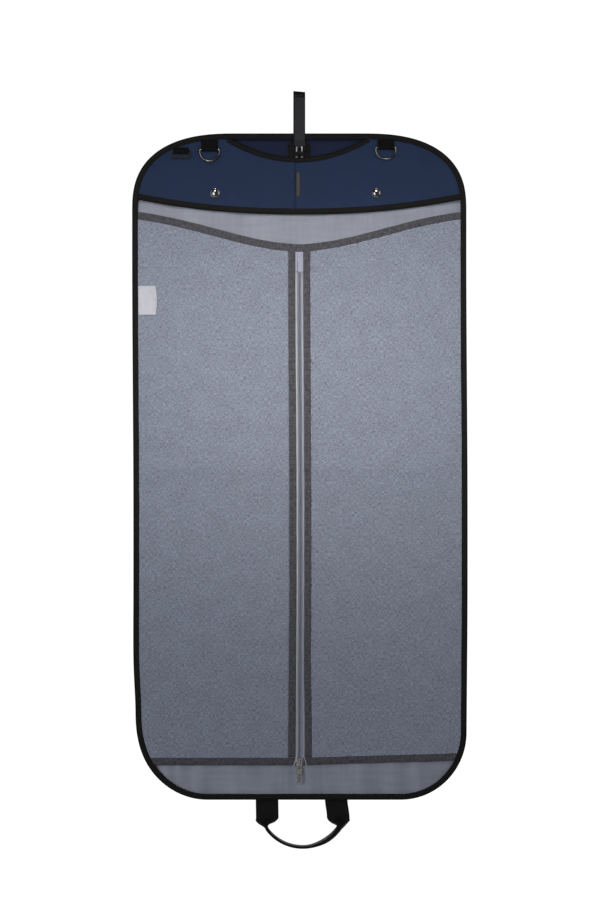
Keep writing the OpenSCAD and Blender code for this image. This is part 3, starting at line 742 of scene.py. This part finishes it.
def build_yoke():
    def left_front(x, z):
        """The left panel's edge is turned under at the centre seam, so it rolls over there."""
        inside = (SEAM_X - x) / 5
        roll = 0.9 * math.exp(-((inside - 0.7) ** 2) / 0.18) - 1.1 * smooth(1 - inside * 1.6)
        return yoke_front(x, z) - roll

    def right_front(x, z):
        return yoke_front(x, z) + 0.7 * smooth(1 - (x - SEAM_X) / 3)

    def bottom(x):
        return hem(x) + 1

    left_x = columns(EDGE_INSET - HALF_W, SEAM_X - 8, 4)
    left_x += [SEAM_X - v for v in (6.5, 5, 4, 3, 2, 1.2, 0.5, 0.05)]
    right_x = [SEAM_X + v for v in (0.05, 0.5, 1.2, 2, 3, 4.5)]
    right_x += columns(SEAM_X + 8, HALF_W - EDGE_INSET, 4)
    for side, xs, front in (("left", left_x, left_front), ("right", right_x, right_front)):
        cloth = panel(f"yoke_panel_{side}", xs, bottom, yoke_top, front, 0.8, NAVY, 4)
        on("upper_half", cloth, "navy_yoke", f"yoke_{side}")

    reach = HALF_W - BINDING_W + 1
    stations = edge_stations(hem, yoke_front, -reach, reach, seed=41)
    tape = sweep("yoke_hem_tape", stations, folded_section(HEM_W, 0.8, 0.8), BINDING)
    on("upper_half", tape, "black_binding", "yoke_hem_binding")

    def scoop_top(x):
        return scoop(x) + SCOOP_W

    left, right = SCOOP_X - SCOOP_REACH, SCOOP_X + SCOOP_REACH
    stations = edge_stations(scoop_top, yoke_front, left, right, step=4, inward=-1, seed=42)
    rim = sweep("yoke_scoop_tape", stations, folded_section(SCOOP_W, 0.8, 0.8), BINDING)
    on("upper_half", rim, "black_binding", "yoke_scoop_binding")

    rows = [
        row_along(curve, up, yoke_front, 1.0, middle - end, middle + end, 90) for curve, up, middle, end
        in ((hem, HEM_W - 1.5, 0, reach - 2), (scoop, 1.4, SCOOP_X, SCOOP_REACH - 6))]
    on("upper_half", threads("yoke_stitches", rows, *BOLD_STITCH, DARK_THREAD), "black_binding")

    seam_x = SEAM_X - 5.6
    heights = np.linspace(hem(0) + 12, scoop(0) - 1, 20)
    seam = [Vector((seam_x, yoke_front(seam_x, z) - 0.15, z)) for z in heights]
    on("upper_half", threads("yoke_seam_stitches", [seam], 3.0, 2.2, 0.16, NAVY_THREAD), "navy_yoke")


def build_tag():
    """A coated tag with its top and bottom corners cut, sewn on beside the centre seam."""
    (x0, x1), low, high = TAG_X, -78, -37

    def tag_low(x):
        return low + 5 * smooth((x - x1 + 4) / 4)

    def tag_high(x):
        return high - 4 * smooth((x - x1 + 3) / 3)

    def face(x, z):
        rim = min(x - x0, x1 - x, z - tag_low(x), tag_high(x) - z)
        return yoke_front(x, z) - 1.2 - 0.35 * smooth(rim / 1.1) + 0.3 * smooth((rim - 1.1) / 0.8)

    xs = [x0 + (x1 - x0) * i / 22 for i in range(23)]
    tag = panel("zip_keeper_tag", xs, tag_low, tag_high, face, 1.2, TAG, 0.6)
    on("upper_half", tag, "tag_metal", "yoke_tag")


def build_studs():
    """Two domed caps with a rolled rim, turned from a profile of (radius, height) pairs."""
    turns = 40
    profile = [
        (7.8, 0.0), (7.9, 0.4), (7.75, 0.75), (7.3, 0.95), (6.9, 0.8), (6.6, 0.85), (6.2, 1.25),
        (5.4, 1.75), (4.4, 2.15), (3.2, 2.42), (1.9, 2.58), (0.8, 2.64),
    ]
    points, faces = [], []
    for side in (-1, 1):
        x0 = SEAM_X + side * STUD_REACH
        y0 = YOKE - 0.1 - abs(yoke_front(x0, STUD_Z) - YOKE)
        start = len(points)
        for r, out in profile:
            points += [(x0 + a, y0 - out, STUD_Z + b) for a, b in circle(r, turns)]
        for i in range(len(profile) - 1):
            for k in range(turns):
                a, b = start + i * turns + k, start + i * turns + (k + 1) % turns
                faces.append((a, b, b + turns, a + turns))
        faces.append(tuple(start + k for k in range(turns))[::-1])
        faces.append(tuple(start + (len(profile) - 1) * turns + k for k in range(turns)))
    uvs = [(points[v][0], points[v][2]) for face in faces for v in face]
    domes = make("press_stud_domes", points, faces, uvs, CHROME)
    on("upper_half", domes, "gunmetal", "press_stud_caps")


# ---- Mesh panels, tapes and zip ----
def build_mesh():
    end = HALF_W - EDGE_INSET
    for side, x0, x1 in (("left", -end, -MESH_EDGE), ("right", MESH_EDGE, end)):
        cloth = panel(
            f"mesh_panel_{side}", columns(x0, x1, 5), lambda x: max(mesh_hem(x) + 0.9, low_edge(x)),
            lambda x: vee(x) - 0.9, mesh_front, 0.6, MESH_CLOTH, 5)
        across_fold(cloth, "mesh_cloth", *halves(f"mesh_{side}"))

    section = folded_section(TAPE_W, 0.6, 0.6, 0.15)
    reach = HALF_W - BINDING_W + 1
    stations = edge_stations(vee, mesh_front, -reach, reach, step=4, inward=-1, wobble=0.5, seed=51)
    tape = sweep("vee_tape", stations, section, GROSGRAIN)
    on("upper_half", tape, "grosgrain", "mesh_top_tape")
    for side, x0, x1 in (("left", -256, -ZIP_SHOWN - 0.5), ("right", ZIP_SHOWN + 0.5, 265)):
        stations = edge_stations(mesh_hem, mesh_front, x0, x1, step=4, wobble=0.4, seed=52)
        tape = sweep(f"mesh_hem_tape_{side}", stations, section, GROSGRAIN)
        on("lower_half", tape, "grosgrain", f"mesh_bottom_tape_{side}")

    rows = [
        row_along(vee, up, mesh_front, 0.75, 4 - reach, reach - 4, 120) for up in (-1.4, 1.2 - TAPE_W)]
    on("upper_half", threads("vee_stitches", rows, *FINE_STITCH, GREY_THREAD), "grosgrain")
    rows = [
        row_along(mesh_hem, up, mesh_front, 0.75, x0, x1, 60)
        for x0, x1 in ((-250, -ZIP_SHOWN - 2), (ZIP_SHOWN + 2, 250)) for up in (1.3, TAPE_W - 1.3)]
    on("lower_half", threads("mesh_hem_stitches", rows, *FINE_STITCH, GREY_THREAD), "grosgrain")


def opening(side, z):
    """How far a band swings outwards near its lower end. Only the right one does."""
    return 2.6 * smooth((-850 - z) / 150) if side > 0 else 0.0


def band_middle(x, z):
    """A band lies on the mesh, and at its top steps up onto the vee tape."""
    return mesh_front(x, z) - 0.32 - 0.7 * smooth((z - ZIP_TOP + 3) / 4)


def build_zip():
    """The two tapes, and the bands that cover their sewn edges."""
    low, high = MESH_BOTTOM + TAPE_W + 0.6, ZIP_TOP
    gap, tape_width = 0.8, 14.7
    section = flat_section(12, 0.6, 0.15)
    tape_section = flat_section(tape_width, 0.6)
    for side, name in ((-1, "left"), (1, "right")):
        x = side * (ZIP_SHOWN + 6)
        stations = upright_stations(
            x, band_middle, low, ZIP_TOP + TAPE_W - 2.5, wobble=0.5, seed=60 + side)
        for centre, _, _ in stations:
            centre.x += opening(side, centre.z)
        cover = sweep(f"zip_band_{name}", stations, section, GROSGRAIN)
        across_fold(cover, "grosgrain", *halves(f"zip_cover_tape_{name}"))
        x = side * (gap + tape_width / 2)
        stations = upright_stations(
            x, lambda a, z: zip_front(z) + 0.3, MESH_BOTTOM + 1.6, high, wobble=0.0)
        tape = sweep(f"zip_tape_cloth_{name}", stations, tape_section, ZIP_TAPE)
        across_fold(tape, "zip_tape", *halves(f"zip_tape_{name}"))
    rows = []
    for side in (-1, 1):
        for reach in (ZIP_SHOWN + 1.4, ZIP_SHOWN + 10.6):
            x = side * reach
            heights = np.linspace(low + 2, high - 2, 180)
            rows.append([Vector((x + opening(side, z), mesh_front(x, z) - 0.72, z)) for z in heights])
    across_fold(threads("zip_band_stitches", rows, *FINE_STITCH, GREY_THREAD), "grosgrain")


def zip_front(z):
    return mesh_front(0, z)


def build_coil():
    """Both rows of the coil, wound as the real one is, meeting along the zip's centre line."""
    pitch, wire, cuts, sides = 1.5, 0.34, 10, 5
    low, high = SLIDER_Z - 3, ZIP_TOP - 8
    for name, side in (("left", -1), ("right", 1)):
        turns = round((high - low) / pitch)
        path = []
        for i in range(turns * cuts + 1):
            t = 2 * math.pi * i / cuts
            z = low + pitch * i / cuts + (pitch / 2 if side > 0 else 0)
            across = side * (1.35 + 1.15 * math.cos(t))
            path.append(Vector((across, zip_front(z) - 0.85 - 0.6 * math.sin(t), z)))
        stations = []
        for i, p in enumerate(path):
            along = heading(path, i)
            u = along.cross(Vector((0, 0, 1))).normalized()
            stations.append((p, u, along.cross(u)))
        coil = sweep(f"zip_coil_{name}", stations, circle(wire, sides), ZIP_COIL)
        across_fold(coil, "zip_coil", *(halves("zip_coils") if side < 0 else ()))


def build_cords():
    """The pale cords along the zip's two edges, which spread apart below the slider."""
    for name, offset, drift, width in (("left", -5.3, 1.4, 2.3), ("right", 4.5, 2.6, 1.4)):
        low, high = MESH_BOTTOM - 2, ZIP_TOP - 30
        count = 170
        path = []
        for i in range(count + 1):
            z = low + (high - low) * i / count
            spread = math.copysign(5.0 * smooth((SLIDER_Z + 14 - z) / 22), offset)
            x = offset + drift * smooth((-850 - z) / 150) + spread + 0.2 * ripple(0, z, 1, 19, 70)
            over = 0.9 * smooth((MESH_BOTTOM + TAPE_W + 4 - z) / 4)
            path.append((Vector((x, zip_front(z) - 0.45 - over, z)), SIDEWAYS, FRONT))
        section = flat_section(width, 0.7, 0.25)
        across_fold(sweep(f"zip_cord_{name}", path, section, CREAM), "zip_tape")


def build_end_tab():
    """The pale tab over the zip's top end, with a bow of stitches and a slit drawn as a row of dark
    thread, a painted shade.
    """
    half = ZIP_SHOWN - 0.1
    xs = [-half + 2 * half * i / 18 for i in range(19)]

    def tab_face(x, z):
        roll = 0.5 * smooth(1 - (half - abs(x)) / 1.2)
        end = 0.6 * smooth(1 - (z - ZIP_TOP + TAB_LEN) / 2)
        return zip_front(z) - 2.3 + roll + end - 0.15 * ripple(x, z, 5, 9, 72)

    tab = panel(
        "zip_top_tab", xs, lambda x: ZIP_TOP - TAB_LEN, lambda x: ZIP_TOP - 0.2, tab_face,
        0.6, LAVENDER, 1)
    on("upper_half", tab, "lavender_tab", "zip_end_tab")
    bow = [Vector((3.4 * math.sin(t), zip_front(ZIP_TOP) - 2.6, ZIP_TOP - 5 - 5 * math.cos(t)))
           for t in np.linspace(-1.9, 1.9, 20)]
    # The slit is a row of dark thread: painted shade where the cut opens.
    slit = [Vector((-2.9, zip_front(z) - 2.75, z))
            for z in np.linspace(ZIP_TOP - TAB_LEN + 0.5, ZIP_TOP - 15, 12)]
    on("upper_half", threads("zip_tab_stitches", [bow], 1.8, 1.7, 0.32, GREY_THREAD), "lavender_tab")
    on("upper_half", threads("zip_tab_slit_shade", [slit], 2.0, 2.2, 0.4, DARK_THREAD), "lavender_tab")


def build_fray():
    """Loose yarn ends of the mesh, showing along the tapes' edges."""
    def beside_vee(x):
        return Vector((x, mesh_front(x, vee(x) - TAPE_W) - 0.35, vee(x) - TAPE_W - 0.6))

    def over_hem(x):
        return Vector((x, mesh_front(x, -1015) - 0.35, mesh_hem(x) + TAPE_W + 0.5))

    def beside_band(side, z):
        x = side * (ZIP_SHOWN + 12.4)
        return Vector((x + opening(side, z), mesh_front(x, z) - 0.35, z))

    reach = HALF_W - BINDING_W - 4
    rows = [[beside_vee(x) for x in np.linspace(26, reach, 90)]]
    on("upper_half", threads("vee_fray", rows, 2.6, 2.6, 0.55, PALE_YARN, 0.12), "mesh_cloth")
    rows = [[over_hem(x) for x in np.linspace(x0, x1, 60)] for x0, x1 in ((-60, -18), (24, 250))]
    on("lower_half", threads("hem_fray", rows, 3.0, 2.4, 0.35, PALE_YARN, 0.18), "mesh_cloth")
    rows = [[beside_band(1, z) for z in np.linspace(-1005, -180, 160)]]
    across_fold(threads("band_fray_right", rows, 2.6, 2.6, 0.6, PALE_YARN, 0.1), "mesh_cloth")
    rows = [[beside_band(-1, z) for z in np.linspace(-1005, -190, 160)]]
    across_fold(threads("band_fray_left", rows, 5.0, 1.8, 0.35, GREY_THREAD, 0.25), "mesh_cloth")


def build_label():
    """A white folded label, sewn in by its left edge, with its free edge curling out and bowed."""
    x0, width, low, high = 0.4 + BINDING_W - HALF_W, 28.4, -276.6, -227.6

    def bowed(x, z):
        t, up = (x - x0) / width, (2 * z - low - high) / (high - low)
        return x + 2.6 * t**3 * (1 - up * up)

    def face(x, z):
        t = (x - x0) / width
        top_hem, low_hem = (math.exp(-((off / 1.2) ** 2)) for off in (z - high + 3, z - low - 2.5))
        hems = 0.45 * top_hem + 0.35 * low_hem
        wave = 0.7 * t * math.sin(7 * t + 0.05 * z) + 0.5 * math.exp(-((t - 0.86) / 0.03) ** 2)
        return MESH - 0.9 - 1.6 * t * t - wave - 0.4 * t * ripple(x, z, 9, 14, 80) - hems

    xs = [x0 + width * i / 40 for i in range(41)]
    label = panel("care_label_cloth", xs, lambda x: low, lambda x: high, face, 0.3, LABEL, 1.5)
    for vertex in label.data.vertices:
        vertex.co.x = bowed(vertex.co.x / MM, vertex.co.z / MM) * MM
    on("care_label", label, "white_label", "care_label")


# ---- Webbing and hardware ----
def build_tabs():
    """A webbing loop for each ring, doubled round its bar and sewn above it."""
    rows = []
    for name, (x, z, wide), bar, node in (
        ("ring_tab_left", RINGS[0], 1.6, "d_ring_tab_left"),
        ("ring_tab_right", RINGS[1], 1.6, "d_ring_tab_right"),
        ("side_tab", SIDE_LOOP, 1.5, "side_loop_tab"),
    ):
        y = YOKE - (bar + RING_TAB_WALL) - 0.1
        reach = bar + 0.75
        end = min(outline_high(x - wide / 2, BINDING_W), outline_high(x + wide / 2, BINDING_W)) + 1.5
        loop = [(y + reach * math.sin(t), z - reach * math.cos(t)) for t in np.linspace(1.35, -1.7, 9)]
        corners = [(YOKE - 0.75, end), (YOKE - 0.75, z + 5.5)] + loop + [
            (y - reach, z + 2), (YOKE - 2.9, z + 6.5), (YOKE - 1.8, end)]
        tab = side_ribbon(name, x, corners, wide, 1.1, WEBBING, 1.0, 0.7)
        on("upper_half", tab, "black_webbing", node)
        rows.append([Vector((x + wide * s, YOKE - 3.2, z + 8)) for s in (-0.42, 0.42)])
    on("upper_half", threads("tab_stitches", rows, 2.6, 2.0, 0.22, DARK_THREAD), "black_webbing")


def build_strap():
    """Webbing from the clamp up over the top edge, with its end turned forwards and hemmed."""
    def tilt(z):
        return -0.085 * smooth((z - 50) / 45)

    y, top = STRAP_HINGE[0], STRAP_TOP
    corners = [
        (-3.95, -6), (-3.95, 8), (y, 17.5), (y, top - 0.9), (y - 1.5, top - 0.9), (y - 1.5, top - 9)]
    strap = side_ribbon("hanger_webbing", 0, corners, STRAP_W, 1.3, STRAP, 3.0, 1.2, tilt)
    start, end = ((0, y * MM, z * MM) for z in (STRAP_HINGE[1] - 6, STRAP_HINGE[1] + 6))
    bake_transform(strap)
    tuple(start)
    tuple(end)
    finished(strap, "black_webbing", "strap_root", "hanger_strap")
    row = [Vector((x, y - 2.3, top - 7.4 - 0.055 * x)) for x in (-7.8, 7.8)]
    on("hanger_strap", threads("strap_hem_stitches", [row], 2.4, 1.9, 0.24, GREY_THREAD), "black_webbing")


def folded_web(angles, width, thickness, cuts=10):
    """Webbing's section, folded lengthwise. Each half has its own angle: pi/2 is flat, and 0 is shut."""
    half = width / 2
    spots = [-half + width * k / (2 * cuts) for k in range(2 * cuts + 1)]
    soft = 3.0

    def centre(s):
        angle = angles[0] if s < 0 else angles[1]
        bent = math.sqrt(s * s + soft * soft) - soft
        side = math.copysign(1, s) * min(1.0, abs(s) / soft)
        gap = (thickness / 2 + 0.2) * math.cos(angle)
        return s * math.sin(angle) + side * gap, (GRIP_DEPTH / 2 - bent) * math.cos(angle)

    line = [centre(s) for s in spots]
    front, back = [], []
    for i, (a, n) in enumerate(line):
        (a0, n0), (a1, n1) = line[max(i - 1, 0)], line[min(i + 1, len(line) - 1)]
        long = math.hypot(a1 - a0, n1 - n0)
        side = (-(n1 - n0) / long * thickness / 2, (a1 - a0) / long * thickness / 2)
        front.append((a + side[0], n + side[1]))
        back.append((a - side[0], n - side[1]))
    return front + back[::-1]


def build_handle():
    """One length of webbing: flat where it leaves the bag, folded lengthwise into the round grip."""
    legs = []
    for side, out in ((-1, -0.4), (1, 3.4)):
        leg = []
        for z in range(BOTTOM + 24, BOTTOM - 42, -2):
            x = HANDLE_REACH + out * smooth((BOTTOM - z) / 30) + 3.0 * smooth((BOTTOM - 33 - z) / 12)
            leg.append(Vector((HANDLE_X + side * x, HANDLE_Y, z)))
        legs.append(leg)
    middle = HANDLE_X + 1.8
    grip = [
        Vector((middle + GRIP_R * math.sin(t), HANDLE_Y, GRIP_Z - GRIP_R * math.cos(t)))
        for t in np.radians(np.linspace(3.5 - GRIP_ANGLE, GRIP_ANGLE - 1.5, 60))
    ]
    whole = resample(legs[0] + grip + legs[1][::-1], 1.6)
    for _ in range(4):
        inner = [(a + b * 2 + c) / 4 for a, b, c in zip(whole, whole[1:], whole[2:])]
        whole = [whole[0]] + inner + [whole[-1]]
    stations, sections = [], []
    for i, p in enumerate(whole):
        along = heading(whole, i)
        loose = 0.04 + 0.12 * smooth((p.x - HANDLE_X - 5) / 40)
        angles = []
        for start, run in ((BOTTOM - 26, 20), (BOTTOM - 33, 16)):
            shut = smooth((start - p.z) / run)
            angles.append(math.pi / 2 * (1 - shut) + loose * shut)
        # the inner half of each leg folds first
        if p.x > HANDLE_X:
            angles.reverse()
        shut = smooth((BOTTOM - 30 - p.z) / 16)
        turn = Vector((-along.z, 0, along.x))
        flat = Vector((1 if along.z < 0 else -1, 0, 0))
        across = flat.lerp(turn, shut).normalized()
        stations.append((p, across, FRONT))
        sections.append(folded_web(angles[::-1] if across.x > 0 else angles, HANDLE_W, 1.9))
    handle = sweep("carry_handle", stations, sections, HANDLE)
    hinge = BOTTOM - 2
    start, end = ((0, HANDLE_Y * MM, z * MM) for z in (hinge + 3, hinge - 6))
    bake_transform(handle)
    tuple(start)
    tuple(end)
    finished(handle, "black_webbing", "handle_anchors", "handle")
    rows = []
    for side in (-1, 1):
        x = HANDLE_X + side * HANDLE_REACH
        rows.append([Vector((x + s, YOKE - 1.2, BOTTOM + 4.5)) for s in (-17, 17)])
    on("lower_half", threads("handle_stitches", rows, 2.6, 2.1, 0.22, DARK_THREAD), "black_webbing")


def build_lever_springs():
    """The two bright wire arms that stand on the clamp's lever."""
    front = LEVER_PIN_Y - 4.2
    for name, x in (("left", -4.5), ("right", 4.5)):
        corners = [(front + 1.6, 5.6), (front, 4.2), (front, -2.2), (front + 1.4, -3.2)]
        arm = side_ribbon(f"lever_spring_{name}", x, corners, 2.2, 0.7, STEEL, 0.8, 0.4)
        on("clamp_lever", arm, "steel")


# ---- CAD solids that stay, each with its own finish ----
KEPT = (
    (BOARD, ["clamp_board"]),
    (MOULDED, ["clamp_base", "clamp_lever"]),
    (STEEL, ["clamp_pin", "clamp_spring", "clamp_rivets"]),
    (STEEL, ["press_stud_sockets", "press_studs", "press_stud_posts"]),
    (GUNMETAL, ["d_ring_left", "d_ring_right"]),
    (BLACK_LOOP, ["side_loop_ring"]),
    (NICKEL, ["zip_slider", "zip_pull", "zip_stops"]),
)


def dress_kept_parts():
    for material, names in KEPT:
        for place in (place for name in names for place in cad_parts[name].material_slots):
            place.link = "OBJECT"
            place.material = material


# ---- Camera, lights and floor ----
def add_camera():
    """Straight on, as high as the middle of the view, with a long lens."""
    distance, height = 6.0, 1.5016   # metres: how far away, and how much of the height it sees
    data = bpy.data.cameras.new("camera")
    data.sensor_fit, data.sensor_width, data.sensor_height = "VERTICAL", 36, 36
    data.lens = 36 * distance / height
    camera = in_scene("camera", data)
    camera.location = (-0.0004, -distance - 0.0078, -0.4997)
    camera.rotation_euler = (math.pi / 2, 0, 0)
    bpy.context.scene.camera = camera


def add_light(name, kind, place, target, energy, **settings):
    data = bpy.data.lights.new(name, kind)
    data.energy = energy
    for setting, value in settings.items():
        setattr(data, setting, value)
    light = in_scene(name, data)
    light.location = place
    direction = Vector(target) - light.location
    light.rotation_euler = direction.to_track_quat("-Z", "Y").to_euler()


def add_lights():
    """Three keys over the upper half, a big softbox in front on the left, a small one on the right,
    one behind, and one that only lights the floor."""
    for name, x in (("left", -0.28), ("middle", 0), ("right", 0.28)):
        add_light(
            f"key_{name}", "SPOT", (x, -1.8, 0.8), (x, 0, -0.34), 72,
            shadow_soft_size=0.2, spot_size=math.radians(22), spot_blend=1.0, color=(1.03, 1.0, 0.95))
    for name, place, target, energy, wide, tall, colour in (
        ("softbox", (-1.25, -3.3, -0.5), (0, 0, -0.45), 40.5, 1.6, 1.9, (0.95, 1.0, 1.1)),
        ("side", (1.5, -1.1, 0.1), (0, 0, -0.2), 6, 0.3, 1.2, (1, 1, 1)),
        ("back", (0.4, 3.0, 1.0), (0, 0, -0.9), 60, 1.8, 1.2, (1, 1, 1)),
        ("floor_wash", (0, 0, -1.32), (0, 0, -1.9), 12, 2.4, 2.4, (1, 1, 1)),
    ):
        add_light(
            name, "AREA", place, target, energy,
            shape="RECTANGLE", size=wide, size_y=tall, color=colour)


def add_world():
    """Dim even light all round, which the camera sees as a white backdrop."""
    world = bpy.data.worlds.new("studio")
    world.use_nodes = True
    nodes, links = world.node_tree.nodes, world.node_tree.links
    back = nodes["Background"]
    back.inputs["Color"].default_value = (1, 1, 1, 1)
    seen = nodes.new("ShaderNodeLightPath")
    strength = nodes.new("ShaderNodeMapRange")
    strength.inputs["To Min"].default_value = 0.12
    strength.inputs["To Max"].default_value = 1.05
    links.new(seen.outputs["Is Camera Ray"], strength.inputs["Value"])
    links.new(strength.outputs["Result"], back.inputs["Strength"])
    bpy.context.scene.world = world
    bpy.context.scene.view_settings.view_transform = "Standard"


def add_floor():
    """A pale floor below the bag, which sends no light back up to it."""
    reach, z = 1.4, -1.9
    corners = [(x * reach, y * reach, z) for x, y in ((-1, -1), (1, -1), (1, 1), (-1, 1))]
    mesh = bpy.data.meshes.new("floor")
    mesh.from_pydata(corners, [], [(0, 1, 2, 3)])
    g = Graph("pale_floor", False, Roughness=0.9)
    g.colour(g.noise(90, 90, 90), rgb(226, 226, 224), rgb(234, 234, 232))
    mesh.materials.append(g.material)
    floor = in_scene("floor", mesh)
    floor.visible_diffuse = False


add_camera()
build_back()
build_outer_binding()
build_yoke()
build_tag()
build_studs()
build_mesh()
build_zip()
build_coil()
build_cords()
build_end_tab()
build_fray()
build_label()
build_tabs()
build_strap()
build_handle()
build_lever_springs()
dress_kept_parts()
add_lights()
add_world()
add_floor()
